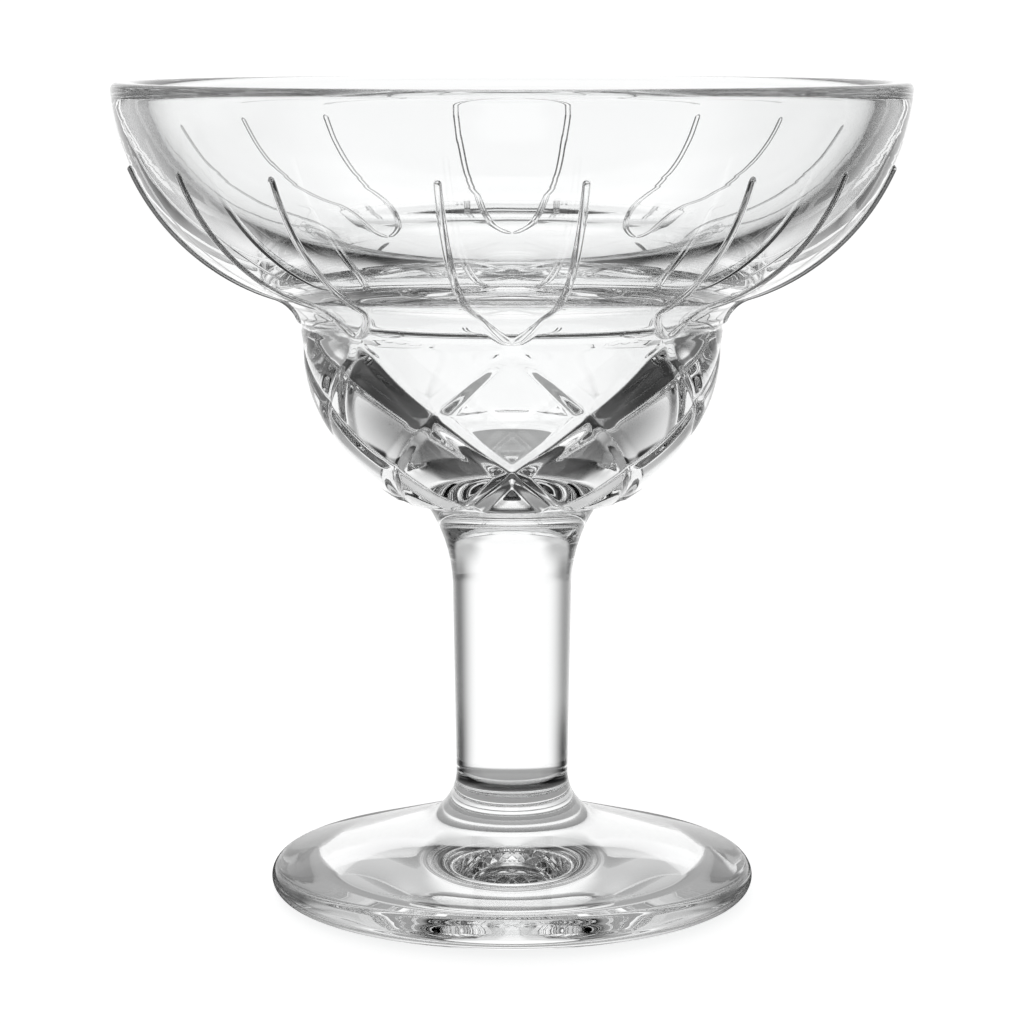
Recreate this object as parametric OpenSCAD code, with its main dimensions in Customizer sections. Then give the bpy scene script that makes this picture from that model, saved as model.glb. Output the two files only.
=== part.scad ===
// Margarita glass: a wide open bowl over a diamond-cut cup, on a thick stem and a domed foot.
// Bowl, stem and foot are pressed or drawn separately and joined hot, end to end.
// All sizes are in millimetres. The foot stands on Z = 0 and the axis of the glass is Z.

/* [Open bowl] */
// Diameter of the open bowl where its wall comes upright, at the rim
rim_d = 114.6; // [104:0.2:124]
// Height of the open bowl above the neck
bowl_h = 36.1; // [33:0.1:40]
// Glass thickness at the rim
lip_wall = 4.5; // [3.8:0.1:5]
// Radius of the rim's outer edge
lip_out_r = 0.9; // [0.6:0.1:1.3]
// Radius of the rim's inner edge
lip_in_r = 2.3; // [1.7:0.1:2.8]
// Lean of the inside at the rim, which makes the wall thicker lower down
lip_lean = 10.4; // [8:0.2:12]
// Radius of the hollow curve outside the neck
neck_r = 6; // [4.5:0.1:7.5]
// Glass thickness at the neck
neck_wall = 4.4; // [3.8:0.1:5]
// Radius of the rounded shoulder inside, above the neck
shoulder_r = 6.8; // [5.5:0.1:8]
// Height of the shoulder's centre above the neck
shoulder_h = 4.8; // [4:0.1:5.6]

/* [Diamond cup] */
// Diameter at the neck
cup_d = 60.6; // [56:0.2:66]
// Height from the cup's lower edge to the neck
cup_h = 23.7; // [21:0.1:26]
// Diameter of the cup's lower edge
cup_edge_d = 34.4; // [30:0.2:39]
// Depth of the round hollow inside, below the neck
hollow_h = 20.4; // [17:0.1:21]
// Height of the top ring of diamonds above the neck
ring_h = 1.1; // [0.7:0.1:1.6]
// How far the diamonds stand out from the neck
diamond_rise = 0.3; // [0.2:0.05:0.5]

/* [Cut lines] */
// Number of diamonds around the cup
diamonds = 8; // [6:1:9]
// Slant length of a line between two crossings, measured down the cup
line_step = 10.4; // [9:0.1:12]
// Depth of the V groove between two diamonds
groove_depth = 0.55; // [0.4:0.05:0.8]
// Width of the V groove
groove_w = 2.6; // [1.8:0.1:3.4]
// Width of a raised thread on the open bowl
thread_w = 0.9; // [0.6:0.05:1.3]
// Height of a raised thread
thread_h = 0.55; // [0.3:0.05:0.8]
// Angle of a thread to either side of its crossing
thread_angle = 10; // [7:0.5:11]
// How far up the open bowl the threads reach, as a share of its height
thread_reach = 0.68; // [0.5:0.02:0.8]

/* [Stem] */
// Length of the stem between its two joints
stem_h = 36.8; // [28:0.2:50]
// Diameter at the foot joint
stem_low_d = 16.44; // [14:0.1:19]
// Diameter where the upper flare begins
stem_mid_d = 17.4; // [15:0.1:20]
// Radius of the upper flare
flare_r = 22.6; // [19:0.2:28]
// Height of the flare below the cup joint
flare_h = 9.6; // [7:0.1:11]
// Height of the cup's lower edge above the joint
under_h = 4.3; // [3.6:0.1:5]

/* [Foot] */
// Diameter of the foot
foot_d = 71.2; // [64:0.2:80]
// Height of the foot up to the stem joint
foot_h = 17.8; // [15:0.1:21]
// Radius of the rounded edge
edge_r = 2.3; // [1.8:0.05:2.8]
// Radius of the hollow curve under the stem joint
collar_r = 7.5; // [5.5:0.1:9]
// Inner diameter of the ring that the glass stands on
ring_d = 54; // [46:0.5:58]
// Rise of the shallow hollow under the foot
under_rise = 2.6; // [1.5:0.1:4]

/* [Hidden] */
$fn = 128;
low_joint = foot_h;
high_joint = foot_h + stem_h;
edge_z = high_joint + under_h;
neck_z = edge_z + cup_h;
rim_z = neck_z + bowl_h;

// The open bowl is one arc that is upright just above the rim and flows into the neck's hollow curve.
lip_lead = 1.3;
bowl_run = rim_d / 2 - cup_d / 2 - neck_r;
bowl_drop = bowl_h + lip_lead;
bowl_r = (bowl_run * bowl_run + bowl_drop * bowl_drop - neck_r * neck_r) / (2 * (bowl_run + neck_r));
bowl_c = [rim_d / 2 - bowl_r, rim_z + lip_lead];
neck_c = [cup_d / 2 + neck_r, neck_z];
flow_angle = atan2(bowl_c[1] - neck_c[1], bowl_c[0] - neck_c[0]);
lip_angle = asin((lip_lead + lip_out_r) / (bowl_r - lip_out_r));

// The cup is one arc, upright at the neck, down to its lower edge.
cup_in = (cup_d - cup_edge_d) / 2;
cup_r = (cup_in * cup_in + cup_h * cup_h) / (2 * cup_in);
cup_c = [cup_d / 2 - cup_r, neck_z];
skin_r = cup_r + diamond_rise;

// The inside is three arcs that flow into each other: from the lip down the bowl, over the shoulder, and
// round the hollow of the cup.
lip_out_c = bowl_c + (bowl_r - lip_out_r) * [cos(lip_angle), -sin(lip_angle)];
lip_in_c = [lip_out_c[0] + lip_out_r - lip_wall + lip_in_r, rim_z - lip_in_r];
lip_in = [-cos(lip_lean), sin(lip_lean)];
lip_p = lip_in_c + lip_in_r * lip_in;
shoulder_c = [cup_d / 2 - neck_wall + shoulder_r, neck_z + shoulder_h];
to_lip = lip_p - shoulder_c;
inner_r = (to_lip * to_lip - shoulder_r * shoulder_r) / (2 * (shoulder_r - lip_in * to_lip));
inner_c = lip_p + inner_r * lip_in;
inner_flow = atan2(inner_c[1] - shoulder_c[1], inner_c[0] - shoulder_c[0]);
floor_z = neck_z - hollow_h;
from_floor = shoulder_c - [0, floor_z];
hollow_r = (from_floor * from_floor - shoulder_r * shoulder_r) / (2 * (shoulder_r + from_floor[1]));
hollow_c = [0, floor_z + hollow_r];
hollow_flow = atan2(shoulder_c[1] - hollow_c[1], shoulder_c[0]);

// The flare on top of the stem runs on into the underside of the cup.
flare_c = [stem_mid_d / 2 + flare_r, high_joint - flare_h];
function flare_x(z) = flare_c[0] - sqrt(flare_r * flare_r - pow(z - flare_c[1], 2));
under_share = 0.7;
under_z = high_joint + under_share * under_h;
edge_step = 0.4;
joint_x = flare_x(high_joint);

// The top of the foot is the straight slope that touches both its rounded edge and its collar curve.
edge_c = [foot_d / 2 - edge_r, edge_r];
collar_c = [stem_low_d / 2 + collar_r, foot_h];
foot_run = [edge_c[0] - collar_c[0], edge_c[1] - collar_c[1]];
foot_slope = atan2(foot_run[1], foot_run[0]) + asin((edge_r + collar_r) / norm(foot_run));
edge_touch = edge_c + edge_r * [-sin(foot_slope), cos(foot_slope)];
collar_touch = collar_c - collar_r * [-sin(foot_slope), cos(foot_slope)];
dome_r = (ring_d * ring_d / 4 + under_rise * under_rise) / (2 * under_rise);

// Lines on the skin, measured along it from the top ring: threads go up from there, grooves down.
turn = 180 / PI;
sector = 360 / diamonds;
ring_angle = 180 - asin(ring_h / neck_r);
neck_len = neck_r * (ring_angle - flow_angle) / turn;
thread_top = neck_z + thread_reach * bowl_h;
thread_end = neck_len + bowl_r * (asin((thread_top - bowl_c[1]) / bowl_r) - (flow_angle - 180)) / turn;
edge_angle = asin(cup_h / cup_r);
groove_end = ring_h + skin_r * (edge_angle + 2) / turn;

function dir(a) = [cos(a), sin(a)];
function unit(v) = v / norm(v);
function around(p, a) = [p[0] * cos(a), p[0] * sin(a), p[1]];
function arc(c, r, a, b, n) = [for (i = [0 : n]) c + r * dir(a + (b - a) * i / n)];

// Radius and height of the skin, and the way it faces, above the ring and below it.
function neck_at(s) = ring_angle - s / neck_r * turn;
function bowl_at(s) = flow_angle - 180 + (s - neck_len) / bowl_r * turn;
function cup_at(s) = -(s - ring_h) / skin_r * turn;
function up_point(s) = s < neck_len ? neck_c + neck_r * dir(neck_at(s)) : bowl_c + bowl_r * dir(bowl_at(s));
function up_face(s) = s < neck_len ? -dir(neck_at(s)) : dir(bowl_at(s));
function down_point(s) = s < ring_h
    ? [cup_d / 2 + diamond_rise, neck_z + ring_h - s]
    : cup_c + skin_r * dir(cup_at(s));
function down_face(s) = s < ring_h ? [1, 0] : dir(cup_at(s));

// A thread swings out of its crossing and settles on its meridian; a groove winds down evenly.
swing = 3.6;
function up_turn(s) = thread_angle * (1 - exp(-s / swing));
function down_turn(s) = -sector / 2 * s / line_step;
function up_place(s) = around(up_point(s), up_turn(s));
function down_place(s) = around(down_point(s), down_turn(s));
function up_side(s) = unit(cross(up_place(s + 0.01) - up_place(s - 0.01), around(up_face(s), up_turn(s))));
function down_side(s) = unit(cross(down_place(s + 0.01) - down_place(s - 0.01), around(down_face(s), down_turn(s))));

// A swept bar: rings of m points, closed at both ends.
module sweep(rings) {
    n = len(rings);
    m = len(rings[0]);
    sides = [for (i = [0 : n - 2], j = [0 : m - 1], k = [0, 1])
        let (a = i * m + j, b = i * m + (j + 1) % m)
        k == 0 ? [a, b, b + m] : [a, b + m, a + m]];
    first = [for (j = [1 : m - 2]) [0, j + 1, j]];
    last = [for (j = [1 : m - 2]) [(n - 1) * m, (n - 1) * m + j, (n - 1) * m + j + 1]];
    polyhedron(points = [for (r = rings) each r], faces = concat(sides, first, last), convexity = 6);
}

// Raised thread with a rounded ridge, tapering off at its upper end.
thread_steps = concat([for (i = [0 : 4]) i / 5 * neck_len],
    [for (i = [0 : 7]) neck_len + (thread_end - thread_w / 2 - neck_len) * i / 7],
    [thread_end]);
thread_sink = 0.8;
module thread() {
    sweep([for (s = thread_steps)
        let (p = up_place(s), x = up_side(s) * thread_w / 2, f = around(up_face(s), up_turn(s)),
            k = s < thread_end ? 1 : 0.4)
        [p + x * k - f * thread_sink, p + x * k + f * thread_h * 0.5 * k, p + f * thread_h * k,
            p - x * k + f * thread_h * 0.5 * k, p - x * k - f * thread_sink]]);
}

// Cutter for a V groove, open outwards.
groove_steps = [for (i = [0 : 12]) groove_end * i / 12];
groove_out = 0.5;
groove_half = groove_w / 2 * (1 + groove_out / groove_depth);
module groove() {
    sweep([for (s = groove_steps)
        let (p = down_place(s), x = down_side(s), f = around(down_face(s), down_turn(s)))
        [p - f * groove_depth, p + x * groove_half + f * groove_out, p - x * groove_half + f * groove_out]]);
}

// One line of each hand from every crossing on the ring.
module all_hands() {
    for (i = [0 : diamonds - 1]) rotate([0, 0, i * sector]) {
        children();
        mirror([0, 1, 0]) children();
    }
}

// Half section of the bowl: outside from the lip down to the joint, then inside from the floor up.
bowl_outline = concat(
    arc(lip_in_c, lip_in_r, 180 - lip_lean, 90, 8),
    arc(lip_out_c, lip_out_r, 90, -lip_angle, 8),
    arc(bowl_c, bowl_r, -lip_angle - 2, flow_angle - 180, 20),
    arc(neck_c, neck_r, flow_angle + 8, ring_angle, 8),
    [[cup_d / 2 + diamond_rise, neck_z + ring_h]],
    arc(cup_c, skin_r, 0, -edge_angle, 14),
    [[cup_edge_d / 2 - edge_step, edge_z], [flare_x(under_z), under_z]],
    [for (i = [1 : 3]) let (z = under_z + (high_joint - under_z) * i / 3) [flare_x(z), z]],
    [[0, high_joint]],
    arc(hollow_c, hollow_r, -90, hollow_flow, 20),
    arc(shoulder_c, shoulder_r, hollow_flow + 180 - 8, inner_flow, 9),
    arc(inner_c, inner_r, inner_flow - 180 + 4, -lip_lean - 3, 20));

module stem_profile() {
    difference() {
        polygon([[0, low_joint], [stem_low_d / 2, low_joint], [stem_mid_d / 2, flare_c[1]],
            [joint_x + 1, flare_c[1]], [joint_x + 1, high_joint], [0, high_joint]]);
        intersection() {
            translate(flare_c) circle(flare_r);
            translate([0, flare_c[1]]) square([flare_c[0], flare_h + 1]);
        }
    }
}

module foot_profile() {
    difference() {
        union() {
            polygon([[0, 0], [edge_c[0], 0], edge_c, edge_touch, collar_touch,
                [collar_touch[0], foot_h], [0, foot_h]]);
            translate(edge_c) circle(edge_r);
        }
        translate(collar_c) circle(collar_r);
        translate([collar_c[0], collar_c[1]]) square([collar_r, collar_r]);
        translate([0, under_rise - dome_r]) circle(dome_r);
    }
}

module bowl() {
    color([0.86, 0.9, 0.91, 0.5]) union() {
        difference() {
            rotate_extrude() polygon(bowl_outline);
            all_hands() groove();
        }
        all_hands() thread();
    }
}

module stem() {
    color([0.84, 0.88, 0.89, 0.5]) rotate_extrude() stem_profile();
}

module foot() {
    color([0.82, 0.86, 0.87, 0.5]) rotate_extrude() foot_profile();
}

bowl();
stem();
foot();
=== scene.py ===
from math import asin, atan2, cos, exp, hypot, log, pi, radians, sin, sqrt

import bmesh
import bpy
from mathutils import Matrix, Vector


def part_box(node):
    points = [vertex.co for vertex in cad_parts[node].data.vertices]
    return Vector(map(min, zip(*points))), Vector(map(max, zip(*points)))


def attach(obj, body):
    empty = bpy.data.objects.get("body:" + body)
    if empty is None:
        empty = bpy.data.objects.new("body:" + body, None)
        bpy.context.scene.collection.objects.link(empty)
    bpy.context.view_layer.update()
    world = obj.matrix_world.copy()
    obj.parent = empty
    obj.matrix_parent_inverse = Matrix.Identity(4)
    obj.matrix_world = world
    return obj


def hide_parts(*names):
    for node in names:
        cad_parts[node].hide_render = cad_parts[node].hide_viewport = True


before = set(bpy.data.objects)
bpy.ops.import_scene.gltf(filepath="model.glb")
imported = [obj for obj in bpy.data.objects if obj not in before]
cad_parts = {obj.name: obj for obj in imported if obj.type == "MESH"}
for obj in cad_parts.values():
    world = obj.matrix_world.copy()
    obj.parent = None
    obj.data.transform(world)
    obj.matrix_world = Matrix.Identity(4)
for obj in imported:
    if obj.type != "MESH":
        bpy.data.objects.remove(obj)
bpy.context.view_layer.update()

mm = 0.001

# Bowl: the open bowl, its neck and the diamond cup under it are one wall of clear glass, pressed in one
# mould with its raised threads and cut diamonds and then fire-polished. Its base is fused to the stem.
bowl_low, bowl_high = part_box("bowl")
base_z = bowl_low.z
rim_z = bowl_high.z
rim_radius = 57.3 * mm
lip_lead = 1.3 * mm
lip_wall = 4.5 * mm
lip_outer_round = 0.9 * mm
lip_inner_round = 2.3 * mm
lip_lean = radians(10.4)
neck_z = 82.6 * mm
neck_radius = 30.3 * mm
neck_curve = 6 * mm
cup_edge_radius = 17.2 * mm
cup_edge_z = 58.9 * mm
diamond_rise = 0.3 * mm
ring_height = 1.1 * mm
neck_wall = 4.4 * mm
shoulder_curve = 6.8 * mm
shoulder_rise = 4.8 * mm
hollow_depth = 20.4 * mm
flare_curve = 22.6 * mm
flare_start = Vector((8.7 * mm, base_z - 9.6 * mm))

bowl_run = rim_radius - neck_radius - neck_curve
bowl_drop = rim_z + lip_lead - neck_z
bowl_curve = (bowl_run**2 + bowl_drop**2 - neck_curve**2) / (2 * (bowl_run + neck_curve))
bowl_centre = Vector((rim_radius - bowl_curve, rim_z + lip_lead))
neck_centre = Vector((neck_radius + neck_curve, neck_z))
flow_angle = atan2(bowl_centre.y - neck_centre.y, bowl_centre.x - neck_centre.x)
lip_angle = asin((lip_lead + lip_outer_round) / (bowl_curve - lip_outer_round))
cup_inset = neck_radius - cup_edge_radius
cup_height = neck_z - cup_edge_z
cup_curve = (cup_inset**2 + cup_height**2) / (2 * cup_inset)
cup_centre = Vector((neck_radius - cup_curve, neck_z))
skin_curve = cup_curve + diamond_rise
ring_angle = pi - asin(ring_height / neck_curve)
neck_length = neck_curve * (ring_angle - flow_angle)
edge_angle = asin(cup_height / cup_curve)
edge_length = ring_height + skin_curve * edge_angle
flare_centre = flare_start + Vector((flare_curve, 0))

sectors = 8
half_sector = pi / sectors
line_step = 10.4 * mm
thread_half = 0.5 * mm
thread_height = 0.55 * mm
thread_angle = radians(10)
thread_swing = 3.6 * mm
thread_fade = 0.6 * mm
thread_fullness = 2.4
thread_roundness = 0.72
thread_top_share = 0.68
thread_top_z = neck_z + thread_top_share * (rim_z - neck_z)
groove_depth = 0.5 * mm
groove_half = 1.4 * mm
groove_round = 0.2 * mm
groove_fade = 2.4 * mm
groove_blend = 2.5
shoulder_round = 0.035 * mm
pillow_drop = 0.32 * mm
pillow_fade = 3.5 * mm


def step(low, high, value):
    """A smooth rise from 0 to 1 between two values."""
    t = min(1, max(0, (value - low) / (high - low)))
    return t * t * (3 - 2 * t)


def spaced(start, end, count):
    """Evenly spaced values from the start up to the end, without the end itself."""
    return [start + (end - start) * k / count for k in range(count)]


def on_arc(centre, radius, angle):
    """Point of an arc in the half section."""
    return centre + radius * Vector((cos(angle), sin(angle)))


def above_ring(length):
    """Point of the outside, and the way it faces, at this length up the wall from the ring of crossings."""
    if length < neck_length:
        angle = ring_angle - length / neck_curve
        return on_arc(neck_centre, neck_curve, angle), Vector((-cos(angle), -sin(angle)))
    angle = flow_angle - pi + (length - neck_length) / bowl_curve
    return on_arc(bowl_centre, bowl_curve, angle), Vector((cos(angle), sin(angle)))


def below_ring(length):
    """The same, down the cup from the ring of crossings."""
    if length < ring_height:
        return Vector((neck_radius + diamond_rise, neck_z + ring_height - length)), Vector((1, 0))
    angle = -(length - ring_height) / skin_curve
    return on_arc(cup_centre, skin_curve, angle), Vector((cos(angle), sin(angle)))


lip_length = neck_length + bowl_curve * (-lip_angle - flow_angle + pi)
thread_end = neck_length + bowl_curve * (asin((thread_top_z - bowl_centre.y) / bowl_curve) - flow_angle + pi)


def thread_turn(length):
    """Angle of a thread from the middle of its crossing: it swings out quickly and then climbs straight."""
    return thread_angle * (1 - exp(-length / thread_swing))


def thread_relief(length, azimuth, radius):
    """Height of the two threads of a sector above the open bowl."""
    slope = radius * thread_angle / thread_swing * exp(-length / thread_swing)
    beyond = max(0, length - thread_end + thread_half)
    height = 0
    for side in (-1, 1):
        across = abs(azimuth - side * thread_turn(length)) * radius / hypot(1, slope)
        reach = hypot(across, beyond) / thread_half
        height = max(height, max(0, 1 - reach**thread_fullness) ** thread_roundness)
    return thread_height * height * step(0, thread_fade, length)


def trough(across):
    """Depth of a groove with flat flanks, a rounded bottom and rounded shoulders."""
    flank = groove_depth - groove_depth / groove_half * (sqrt(across**2 + groove_round**2) - groove_round)
    return shoulder_round * log(1 + exp(flank / shoulder_round))


def diamond_relief(length, azimuth, radius):
    """Height of the cup's skin: grooves along the two slants of lines, and domed diamonds between them."""
    along = length / line_step
    around = azimuth / half_sector
    width = half_sector * radius
    reach = width * line_step / hypot(width, line_step)
    shares = [abs((around + hand * along + 1) % 2 - 1) for hand in (-1, 1)]
    depth = sum(trough(share * reach) ** groove_blend for share in shares) ** (1 / groove_blend)
    drop = pillow_drop * sum((1 - share) ** 2 for share in shares)
    return -depth * step(0, groove_fade, length) - drop * step(0, pillow_fade, length)


# Outside of the open bowl, over the lip and down the inside, as rows of half a sector. The columns keep
# close to the thread and spread evenly again above it.
open_columns = 26
left_columns = 11
close_offsets = [k * mm for k in (0, 0.12, 0.24, 0.34, 0.42, 0.49, 0.56, 0.66)]
close_limit = 1.7
widening = 1.7
open_start = 0.15 * mm
swing_end = 4.5 * mm
tip_start = thread_end - 2 * thread_half
tip_end = thread_end + thread_half / 2
open_rows = (
    spaced(open_start, swing_end, 18)
    + spaced(swing_end, neck_length, 12)
    + spaced(neck_length, tip_start, 34)
    + spaced(tip_start, tip_end, 12)
    + spaced(tip_end, lip_length, 14)
)
lip_outer_centre = on_arc(bowl_centre, bowl_curve - lip_outer_round, -lip_angle)
lip_inner_x = lip_outer_centre.x + lip_outer_round - lip_wall + lip_inner_round
lip_inner_centre = Vector((lip_inner_x, rim_z - lip_inner_round))
lip_inner = on_arc(lip_inner_centre, lip_inner_round, pi - lip_lean)
inward = Vector((-cos(lip_lean), sin(lip_lean)))
shoulder_centre = Vector((neck_radius - neck_wall + shoulder_curve, neck_z + shoulder_rise))
to_lip = lip_inner - shoulder_centre
inner_curve = (to_lip.length_squared - shoulder_curve**2) / (2 * (shoulder_curve - inward.dot(to_lip)))
inner_centre = lip_inner + inner_curve * inward
inner_flow = atan2(inner_centre.y - shoulder_centre.y, inner_centre.x - shoulder_centre.x)
hollow_floor = Vector((0, neck_z - hollow_depth))
from_floor = shoulder_centre - hollow_floor
hollow_curve = (from_floor.length_squared - shoulder_curve**2) / (2 * (shoulder_curve + from_floor.y))
hollow_centre = hollow_floor + Vector((0, hollow_curve))
hollow_flow = atan2(shoulder_centre.y - hollow_centre.y, shoulder_centre.x)
inside = (
    [on_arc(lip_outer_centre, lip_outer_round, a) for a in spaced(-lip_angle, pi / 2, 14)]
    + [on_arc(lip_inner_centre, lip_inner_round, a) for a in spaced(pi / 2, pi - lip_lean, 16)]
    + [on_arc(inner_centre, inner_curve, a) for a in spaced(-lip_lean, inner_flow - pi, 30)]
    + [on_arc(shoulder_centre, shoulder_curve, a) for a in spaced(inner_flow, hollow_flow + pi, 24)]
    + [on_arc(hollow_centre, hollow_curve, a) for a in spaced(hollow_flow, -pi / 2, 40)]
    + [hollow_floor]
)


def offsets(room, count):
    """Distances of the columns from the thread's middle, close together at first and then ever wider."""
    squeeze = min(1, room / (close_limit * close_offsets[-1]))
    close = [squeeze * d for d in close_offsets]
    left_over = room - close[-1]
    steps = count - len(close) + 1
    return close + [close[-1] + left_over * (k / steps) ** widening for k in range(1, steps + 1)]


def open_azimuths(length, radius):
    """Angles of the columns at this length up the open bowl."""
    middle = thread_turn(length)
    right_room = (half_sector - middle) * radius
    left = [middle - d / radius for d in offsets(middle * radius, left_columns)]
    right = [middle + d / radius for d in offsets(right_room, open_columns - left_columns)]
    spread = step(thread_end + thread_half, lip_length, length)
    near = left[:0:-1] + right
    return [a + (half_sector * k / open_columns - a) * spread for k, a in enumerate(near)]


def turned(point, azimuth):
    """A point of the half section, turned round the axis."""
    return Vector((point.x * cos(azimuth), point.x * sin(azimuth), point.y))


def lay_grid(name, columns, rows):
    """A flat grid with one row of points for each row given, each point put in its place."""
    bpy.ops.object.select_all(action="DESELECT")
    bpy.ops.mesh.primitive_grid_add(x_subdivisions=columns, y_subdivisions=len(rows) - 1)
    grid = bpy.context.object
    grid.name = name
    places = [place for row in rows for place in row]
    for vertex, place in zip(grid.data.vertices, places, strict=True):
        vertex.co = place
    return grid


mirror_gap = 0.0005 * mm
weld_gap = 0.002 * mm


def set_round(piece):
    """Mirrors half a sector and sets it round the axis until it closes."""
    bpy.ops.object.modifier_add(type="MIRROR")
    piece.modifiers["Mirror"].use_axis = (False, True, False)
    piece.modifiers["Mirror"].merge_threshold = mirror_gap
    bpy.ops.object.modifier_apply(modifier="Mirror")
    bpy.ops.object.mode_set(mode="EDIT")
    for turn in (2 * half_sector, 4 * half_sector, 8 * half_sector):
        bpy.ops.mesh.select_all(action="SELECT")
        bpy.ops.mesh.duplicate()
        bpy.ops.transform.rotate(value=turn, orient_axis="Z", center_override=(0, 0, 0))
    bpy.ops.mesh.select_all(action="SELECT")
    bpy.ops.mesh.remove_doubles(threshold=weld_gap)
    bpy.ops.object.mode_set(mode="OBJECT")


open_grid = []
for length in open_rows:
    point, facing = above_ring(length)
    azimuths = open_azimuths(length, point.x)
    open_grid.append([turned(point + facing * thread_relief(length, a, point.x), a) for a in azimuths])
for point in inside:
    open_grid.append([turned(point, half_sector * k / open_columns) for k in range(open_columns + 1)])
open_bowl = lay_grid("open_bowl", open_columns, open_grid)
set_round(open_bowl)

# The diamond cup: the cells of its grid are as high and wide as the lines' slant asks, so that the lines
# run along their diagonals. Below its lower edge the underside flares down to the joint.
cup_columns = 24
cell = line_step / cup_columns
cup_rows = int(edge_length / cell) + 1
ring_sink = 0.2 * mm
ring_fade = 0.6 * mm
edge_bead = 0.35 * mm
bead_start = -edge_angle - 0.3
bead_end = -0.6 * pi
under_height = 3 * mm
under_rows = 6
edge_slump = 0.3


def flare_point(z):
    """Point of the flare between the cup and the stem at this height."""
    return Vector((flare_centre.x - sqrt(flare_curve**2 - (z - flare_centre.y) ** 2), z))


under_z = base_z + under_height
edge_point, edge_facing = below_ring(edge_length)
bead_centre = edge_point - edge_bead * edge_facing


def under_point(share):
    """Point of the cup's underside, this share of the way from its edge to the flare."""
    return bead_centre.lerp(flare_point(under_z), share) - Vector((0, edge_bead * (1 - share)))


underside = (
    [on_arc(bead_centre, edge_bead, a) for a in spaced(bead_start, bead_end, 4)]
    + [under_point(k / under_rows) for k in range(1, under_rows)]
    + [flare_point(z) for z in spaced(under_z, base_z, 10)]
    + [flare_point(base_z)]
)
cup_azimuths = [half_sector * k / cup_columns for k in range(cup_columns + 1)]
cup_grid = []
for row in range(cup_rows):
    length = min(row * cell, edge_length)
    point, facing = below_ring(length)
    sink = ring_sink * (1 - step(0, ring_fade, length))
    reliefs = [diamond_relief(length, a, point.x) - sink for a in cup_azimuths]
    cup_grid.append([turned(point + facing * h, a) for h, a in zip(reliefs, cup_azimuths)])
edge_reliefs = [diamond_relief(edge_length, a, edge_point.x) for a in cup_azimuths]
for row, point in enumerate(underside):
    slump = (1 - step(0, under_rows, row)) * Vector((1, -edge_slump))
    cup_grid.append([turned(point + slump * h, a) for h, a in zip(edge_reliefs, cup_azimuths)])
cup = lay_grid("cup", cup_columns, cup_grid)
bands = cup_rows // cup_columns + 1
bpy.ops.object.mode_set(mode="EDIT")
for band in range(bands):
    bpy.ops.mesh.select_all(action="DESELECT")
    skin = bmesh.from_edit_mesh(cup.data)
    skin.faces.ensure_lookup_table()
    for k, face in enumerate(skin.faces):
        row = k // cup_columns
        face.select_set(row < cup_rows and row // cup_columns == band)
    bmesh.update_edit_mesh(cup.data)
    bpy.ops.mesh.quads_convert_to_tris(quad_method="FIXED" if band % 2 == 0 else "FIXED_ALTERNATE")
bpy.ops.object.mode_set(mode="OBJECT")
set_round(cup)

# The two halves of the bowl's skin meet in one narrow strip at the ring of crossings.
bpy.ops.object.select_all(action="DESELECT")
cup.select_set(True)
open_bowl.select_set(True)
bpy.context.view_layer.objects.active = open_bowl
bpy.ops.object.join()
bowl = open_bowl
bowl.name = "bowl_glass"
ring_z = neck_z + ring_height
ring_band = 0.03 * mm
seam_margin = 0.001


def ring_of(mesh, z):
    """Angle and point of each place on an open edge at this height, once round and back to the first."""
    points = {v for e in mesh.edges if e.is_boundary for v in e.verts if abs(v.co.z - z) < ring_band}
    places = [((atan2(v.co.y, v.co.x) + seam_margin) % (2 * pi), v) for v in points]
    places.sort(key=lambda place: place[0])
    return places + [(places[0][0] + 2 * pi, places[0][1])]


skin = bmesh.new()
skin.from_mesh(bowl.data)
upper = ring_of(skin, above_ring(open_start)[0].y)
lower = ring_of(skin, ring_z)
while len(upper) > 1 or len(lower) > 1:
    on_upper = len(lower) == 1 or (len(upper) > 1 and upper[1][0] <= lower[1][0])
    ring = upper if on_upper else lower
    skin.faces.new((upper[0][1], lower[0][1], ring[1][1]))
    ring.pop(0)
skin.to_mesh(bowl.data)
skin.free()

fine_gap = 0.001 * mm


def close_joint(piece, joint_z):
    """Closes the open end at a fused joint with a flat, sharp-edged face in the second material."""
    bpy.ops.object.mode_set(mode="EDIT")
    bpy.ops.mesh.select_all(action="DESELECT")
    bpy.ops.mesh.select_mode(type="EDGE")
    skin = bmesh.from_edit_mesh(piece.data)
    for edge in skin.edges:
        at_joint = all(abs(v.co.z - joint_z) < fine_gap for v in edge.verts)
        edge.select_set(at_joint and edge.is_boundary)
    bmesh.update_edit_mesh(piece.data)
    bpy.ops.mesh.mark_sharp()
    bpy.ops.mesh.edge_face_add()
    piece.active_material_index = 1
    bpy.ops.object.material_slot_assign()
    bpy.ops.object.mode_set(mode="OBJECT")


def finish_glass(piece):
    """Turns every face outwards and smooths the surface, apart from the sharp edges at the joints."""
    bpy.ops.object.mode_set(mode="EDIT")
    bpy.ops.mesh.select_all(action="SELECT")
    bpy.ops.mesh.normals_make_consistent(inside=False)
    bpy.ops.mesh.faces_shade_smooth()
    bpy.ops.object.mode_set(mode="OBJECT")


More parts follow.
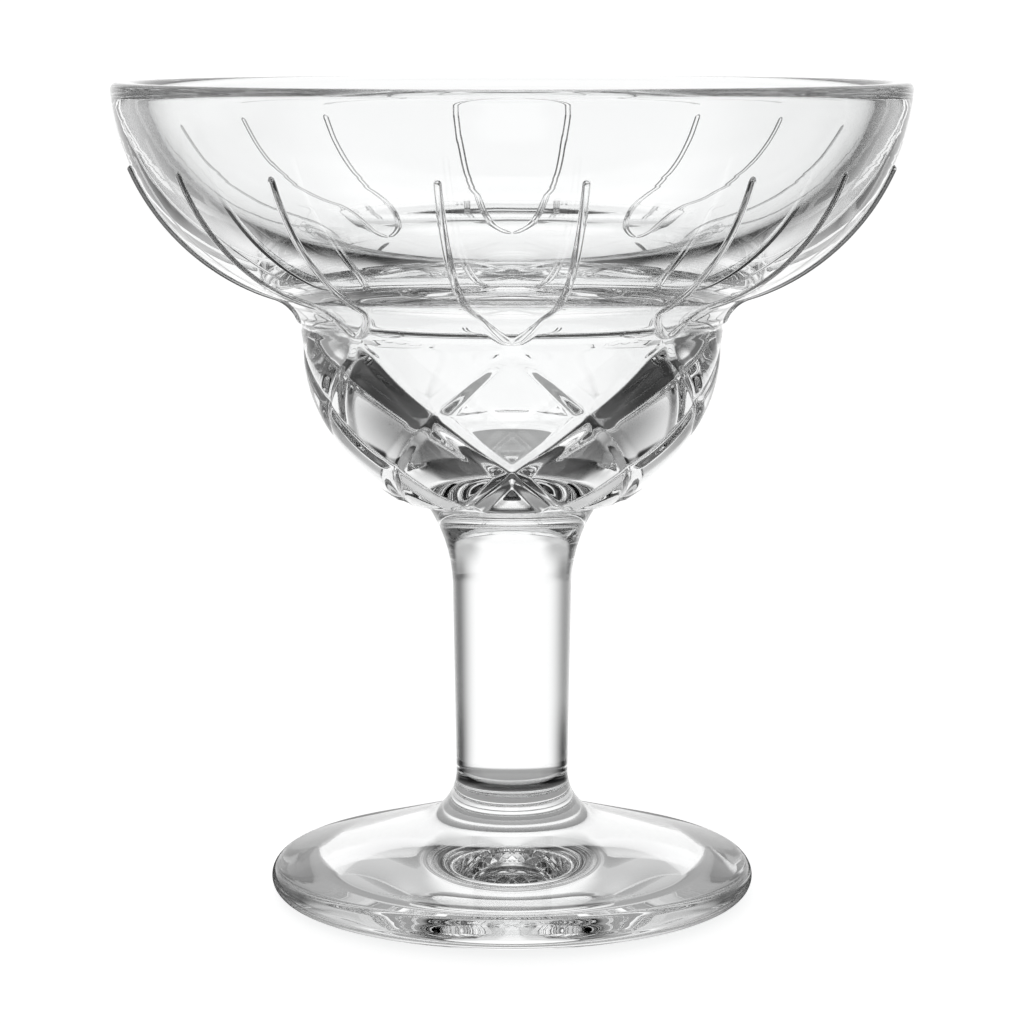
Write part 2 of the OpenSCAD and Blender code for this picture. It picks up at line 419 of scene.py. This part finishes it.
class Signal:
    """A shader socket that can be used in a sum."""

    def __init__(self, tree, socket):
        self.tree = tree
        self.socket = socket

    def node(self, kind, inputs=(), **settings):
        node = self.tree.nodes.new(kind)
        for name, value in settings.items():
            setattr(node, name, value)
        for name, value in dict(inputs).items():
            if isinstance(value, Signal):
                self.tree.links.new(value.socket, node.inputs[name])
            else:
                node.inputs[name].default_value = value
        return node

    def out(self, kind, output, inputs=(), **settings):
        return Signal(self.tree, self.node(kind, inputs, **settings).outputs[output])

    def maths(self, operation, first, second=0.0):
        return self.out("ShaderNodeMath", 0, {0: first, 1: second}, operation=operation)

    def __add__(self, other):
        return self.maths("ADD", self, other)

    def __radd__(self, other):
        return self.maths("ADD", other, self)

    def __sub__(self, other):
        return self.maths("SUBTRACT", self, other)

    def __rsub__(self, other):
        return self.maths("SUBTRACT", other, self)

    def __mul__(self, other):
        return self.maths("MULTIPLY", self, other)

    def __rmul__(self, other):
        return self.maths("MULTIPLY", other, self)

    def step(self, low, high):
        inputs = {"Value": self, "From Min": low, "From Max": high}
        return self.out("ShaderNodeMapRange", 0, inputs, interpolation_type="SMOOTHSTEP")


glass_ior = 1.52
glass_tint = (0.985, 0.99, 0.99, 1)
shadow_tint = (0.86, 0.88, 0.88, 1)
haze_scale = 900
haze_depth = 0.012


def clear_glass(name, ripple_size, ripple):
    """Fire-polished soda-lime glass: clear, with the faint ripple that the mould leaves in the skin."""
    material = bpy.data.materials.new(name)
    material.use_nodes = True
    tree = material.node_tree
    tree.nodes.clear()
    signal = Signal(tree, None)
    place = signal.out("ShaderNodeTexCoord", "Object")
    waves = signal.out("ShaderNodeTexNoise", 0, {"Vector": place, "Scale": 1 / ripple_size, "Detail": 2.0})
    bump = signal.out("ShaderNodeBump", 0, {"Height": waves, "Strength": 1.0, "Distance": ripple})
    haze = signal.out("ShaderNodeTexNoise", 0, {"Vector": place, "Scale": haze_scale, "Detail": 3.0})
    glass = signal.out("ShaderNodeBsdfPrincipled", 0, {
        "Base Color": glass_tint,
        "Roughness": haze * haze_depth,
        "IOR": glass_ior,
        "Transmission Weight": 1.0,
        "Normal": bump,
    })
    clear = signal.out("ShaderNodeBsdfTransparent", 0, {"Color": shadow_tint})
    shadow = signal.out("ShaderNodeLightPath", "Is Shadow Ray")
    both = signal.out("ShaderNodeMixShader", 0, {0: shadow, 1: glass, 2: clear})
    signal.node("ShaderNodeOutputMaterial", {"Surface": both})
    return material


def fused_face(name):
    """The inside of a hot joint, where the glass runs on without a surface."""
    material = bpy.data.materials.new(name)
    material.use_nodes = True
    shader = material.node_tree.nodes["Principled BSDF"]
    shader.inputs["Alpha"].default_value = 0
    return material


fused = fused_face("fused_joint")
bowl.data.materials.append(clear_glass("bowl_clear", 9 * mm, 0.01 * mm))
bowl.data.materials.append(fused)
close_joint(bowl, base_z)
finish_glass(bowl)
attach(bowl, "root")
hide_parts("bowl")

# Stem: a thick solid rod of the same glass, a little wider at the top, where it flares into the cup.
# It is drawn hot and fused to the bowl above and to the foot below.
stem_low, stem_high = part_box("stem")
stem_low_radius = 8.22 * mm
stem_columns = 192
stem_rows = 24


def spin_round(name, section, columns):
    """Spins a half section round the axis."""
    bpy.ops.object.select_all(action="DESELECT")
    bpy.ops.mesh.primitive_plane_add(size=mm)
    piece = bpy.context.object
    piece.name = name
    outline = bmesh.new()
    points = [outline.verts.new((p.x, 0, p.y)) for p in section]
    for first, second in zip(points, points[1:]):
        outline.edges.new((first, second))
    outline.to_mesh(piece.data)
    outline.free()
    bpy.ops.object.mode_set(mode="EDIT")
    bpy.ops.mesh.select_all(action="SELECT")
    bpy.ops.mesh.spin(steps=columns, angle=2 * pi, center=(0, 0, 0), axis=(0, 0, 1))
    bpy.ops.mesh.select_all(action="SELECT")
    bpy.ops.mesh.remove_doubles(threshold=fine_gap)
    bpy.ops.object.mode_set(mode="OBJECT")
    return piece


stem_side = Vector((stem_low_radius, stem_low.z))
stem = spin_round(
    "stem_glass",
    [stem_side.lerp(flare_start, k / stem_rows) for k in range(stem_rows)]
    + [flare_point(z) for z in spaced(flare_start.y, stem_high.z, 26)]
    + [flare_point(stem_high.z)],
    stem_columns,
)
stem.data.materials.append(clear_glass("stem_clear", 12 * mm, 0.008 * mm))
stem.data.materials.append(fused)
close_joint(stem, stem_low.z)
close_joint(stem, stem_high.z)
finish_glass(stem)
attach(stem, "root")
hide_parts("stem")

# Foot: a pressed disc of the same glass, domed up to a hollow-curved collar that is fused to the stem.
# It stands on the flat ring round the shallow hollow underneath.
foot_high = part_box("foot")[1]
foot_radius = foot_high.x
edge_round = 2.3 * mm
collar_curve = 7.5 * mm
stand_radius = 27 * mm
under_rise = 2.6 * mm
foot_columns = 224
slope_rows = 20

edge_centre = Vector((foot_radius - edge_round, edge_round))
collar_centre = Vector((stem_low_radius + collar_curve, foot_high.z))
foot_run = edge_centre - collar_centre
foot_slope = atan2(foot_run.y, foot_run.x) + asin((edge_round + collar_curve) / foot_run.length)
dome_curve = (stand_radius**2 + under_rise**2) / (2 * under_rise)
dome_centre = Vector((0, under_rise - dome_curve))
dome_angle = asin(stand_radius / dome_curve)
slope_low = on_arc(edge_centre, edge_round, foot_slope + pi / 2)
slope_high = on_arc(collar_centre, collar_curve, foot_slope - pi / 2)
foot = spin_round(
    "foot_glass",
    [Vector((0, under_rise))]
    + [on_arc(dome_centre, dome_curve, pi / 2 - a) for a in spaced(0, dome_angle, 24)[1:]]
    + [Vector((r, 0)) for r in spaced(stand_radius, edge_centre.x, 6)]
    + [on_arc(edge_centre, edge_round, a) for a in spaced(-pi / 2, foot_slope + pi / 2, 28)]
    + [slope_low.lerp(slope_high, k / slope_rows) for k in range(slope_rows)]
    + [on_arc(collar_centre, collar_curve, a) for a in spaced(foot_slope - pi / 2, -pi, 24)]
    + [Vector((stem_low_radius, foot_high.z))],
    foot_columns,
)
foot.data.materials.append(clear_glass("foot_clear", 14 * mm, 0.012 * mm))
foot.data.materials.append(fused)
close_joint(foot, foot_high.z)
finish_glass(foot)
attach(foot, "root")
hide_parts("foot")

# Floor: a wide white table. The camera sees it white with a soft shadow. The glass sees it glow with painted
# light and shade: white behind, greyer in front, a painted shadow under the foot, and painted dark on either
# side, with a painted light far out on the left. Bearings are in degrees from straight behind the glass.
floor_reach = 6.0
floor_drop = 0.3 * mm
floor_colour = (0.8, 0.8, 0.8, 1)
floor_lift = 0.82
white = (1, 1, 1, 1)
behind_level = 1.08
near_sides = (25, 53)
far_sides = (23, 47)
front_sides = (108, 128)
far_floor = (0.35, 1.1)
# Sizes and levels of the painted shadow under the foot, whose middle lies behind the axis.
shade_back = 22 * mm
shade_edge = (46 * mm, 56 * mm)
shade_core = (12 * mm, 30 * mm)
core_level = 0.06
shade_level = 0.32
# Levels of the painted dark on either side of the floor, which only the glass sees; no card stands there.
painted_dark_level = 0.03
painted_dark_start = (0.1, 0.16)
left_painted_dark_rise = 0.32
right_painted_dark_rise = 0.12
painted_dark_change = (-20, 20)
left_bearing = -90
left_spread = (6, 36)
left_start = (0.22, 0.6)
front_start = (0.1, 0.3)
front_fall = 0.35
bpy.ops.object.select_all(action="DESELECT")
bpy.ops.mesh.primitive_circle_add(
    vertices=64, radius=floor_reach, fill_type="NGON", location=(0, 0, -floor_drop)
)
floor = bpy.context.object
floor.name = "white_floor"
bpy.ops.object.transform_apply()
paper = bpy.data.materials.new("white_table")
paper.use_nodes = True
tree = paper.node_tree
tree.nodes.clear()
signal = Signal(tree, None)
shone = signal.out("ShaderNodeLightPath", "Is Glossy Ray")
passed = signal.out("ShaderNodeLightPath", "Is Transmission Ray")
seen = signal.out("ShaderNodeLightPath", "Is Camera Ray")
spot = signal.node("ShaderNodeSeparateXYZ", {0: signal.out("ShaderNodeTexCoord", "Object")})
east = Signal(tree, spot.outputs["X"])
north = Signal(tree, spot.outputs["Y"])
out = signal.maths("SQRT", east * east + north * north)
bearing = signal.maths("ARCTAN2", east, north) * (180 / pi)
aside = signal.maths("ABSOLUTE", bearing)
# Painted shadow of the foot, seen only by the glass: near black under the foot, lighter round it, lit
# beyond.
back = north - shade_back
lit = signal.maths("SQRT", east * east + back * back).step(*shade_edge)
shade = (core_level + (shade_level - core_level) * out.step(*shade_core)) * (1 - lit) + lit
right = bearing.step(*painted_dark_change)
far = out.step(*far_floor)
# Painted light on the floor far out to the left, which only the glass sees.
from_left = signal.maths("ABSOLUTE", bearing - left_bearing)
left_light = (1 - from_left.step(*left_spread)) * out.step(*left_start)
# Painted dark on both sides of the glass, a little lighter further out, lightest where the painted light
# lies.
painted_dark_rise = left_painted_dark_rise - (left_painted_dark_rise - right_painted_dark_rise) * right
painted_dark = signal.maths("MAXIMUM", painted_dark_level + painted_dark_rise * out.step(*painted_dark_start), left_light)
front = 1.0 - front_fall * out.step(*front_start) - front_fall * far
beside = aside.step(*near_sides) * (1 - far) + aside.step(*far_sides) * far
forward = aside.step(*front_sides)
ground = behind_level * (1 - beside) + (painted_dark * (1 - forward) + front * forward) * beside
# The floor as the glass sees it: a glowing sheet with its painted light and shade, brighter than white
# behind.
around_glass = signal.out("ShaderNodeEmission", 0, {"Color": white, "Strength": shade * ground})
matt = signal.out("ShaderNodeBsdfDiffuse", 0, {"Color": floor_colour})
lift = signal.out("ShaderNodeEmission", 0, {"Color": white, "Strength": seen * floor_lift})
in_view = signal.out("ShaderNodeAddShader", 0, {0: matt, 1: lift})
by_glass = signal.maths("MAXIMUM", shone, passed)
whole = signal.out("ShaderNodeMixShader", 0, {0: by_glass, 1: in_view, 2: around_glass})
signal.node("ShaderNodeOutputMaterial", {"Surface": whole})
floor.data.materials.append(paper)

# Studio: a tall white backdrop that turns grey and then dark towards the sides, a dark ceiling, one soft box
# high up behind the camera, a low white panel to the left, and a soft lamp overhead that lights only the
# floor. Heights run from 0 at eye level to 1 straight up.
world = bpy.data.worlds.new("studio")
bpy.context.scene.world = world
world.use_nodes = True
tree = world.node_tree
tree.nodes.clear()
signal = Signal(tree, None)
way = signal.node("ShaderNodeSeparateXYZ", {0: signal.out("ShaderNodeTexCoord", "Generated")})
east = Signal(tree, way.outputs["X"])
north = Signal(tree, way.outputs["Y"])
up = Signal(tree, way.outputs["Z"])
seen = signal.out("ShaderNodeLightPath", "Is Camera Ray")
bearing = signal.maths("ARCTAN2", east, north) * (180 / pi)
aside = signal.maths("ABSOLUTE", bearing)


def wall(behind, *falls):
    """One band of the wall: its level behind the glass, less each fall between two bearings."""
    level = behind
    for fall, start, end in falls:
        level = level - fall * aside.step(start, end)
    return level


room = wall(1.12, (0.78, *far_sides), (0.22, 50, 70), (0.12, 108, 132))
higher_bands = (
    (wall(1.05, (0.45, 16, 30), (0.48, 48, 60), (0.12, 112, 132)), (0.02, 0.3)),
    (wall(1.1, (0.42, 8, 26), (0.56, 46, 60), (0.12, 112, 132)), (0.32, 0.38)),
    (wall(0.95, (0.22, 6, 16), (0.5, 42, 66), (0.23, 80, 125)), (0.55, 0.62)),
    (wall(0.1, (0.1, 35, 60)), (0.88, 0.93)),
)
for band, heights in higher_bands:
    share = up.step(*heights)
    room = room * (1 - share) + band * share
panel_top = (0.08, 0.3)
box_level = 0.9
box_sides = (162, 170)
box_bottom = (0.6, 0.68)
box_top = (0.8, 0.87)
from_left = signal.maths("ABSOLUTE", bearing - left_bearing)
left_panel = (1 - from_left.step(*left_spread)) * (1 - up.step(*panel_top))
soft_box = box_level * aside.step(*box_sides) * up.step(*box_bottom) * (1 - up.step(*box_top))
lights = signal.maths("MAXIMUM", left_panel, soft_box)
level = signal.maths("MAXIMUM", signal.maths("MAXIMUM", room, lights), seen)
background = signal.out("ShaderNodeBackground", 0, {"Color": white, "Strength": level})
signal.node("ShaderNodeOutputWorld", {"Surface": background})

lamp_data = bpy.data.lights.new("overhead", "AREA")
lamp_data.shape = "DISK"
lamp_data.size = 0.5
lamp_data.energy = 1.0
lamp = bpy.data.objects.new("overhead", lamp_data)
lamp.location = (-0.15, 0.1, 0.9)
lamp.rotation_euler = (-Vector(lamp.location)).to_track_quat("-Z", "Y").to_euler()
bpy.context.scene.collection.objects.link(lamp)
lamp.visible_camera = False
lamp.visible_glossy = False
lamp.visible_transmission = False

# Camera: the photograph's place and angle, fitted to the rim and the foot. Light needs many bounces to pass
# through all the layers of glass.
camera_distance = 460 * mm
camera_height = 126.95 * mm
camera_pitch = radians(8.74)
glass_bounces = 28
camera_data = bpy.data.cameras.new("camera")
camera_data.sensor_width = 36
camera_data.lens = 111.8
camera = bpy.data.objects.new("camera", camera_data)
camera.location = (0, -camera_distance, camera_height)
camera.rotation_euler = (pi / 2 - camera_pitch, 0, 0)
bpy.context.scene.collection.objects.link(camera)
scene = bpy.context.scene
scene.camera = camera
scene.view_settings.view_transform = "Standard"
scene.cycles.use_denoising = True
scene.cycles.max_bounces = glass_bounces
scene.cycles.transmission_bounces = glass_bounces
scene.cycles.glossy_bounces = 16
scene.cycles.transparent_max_bounces = 16
scene.cycles.caustics_reflective = False
scene.cycles.caustics_refractive = False
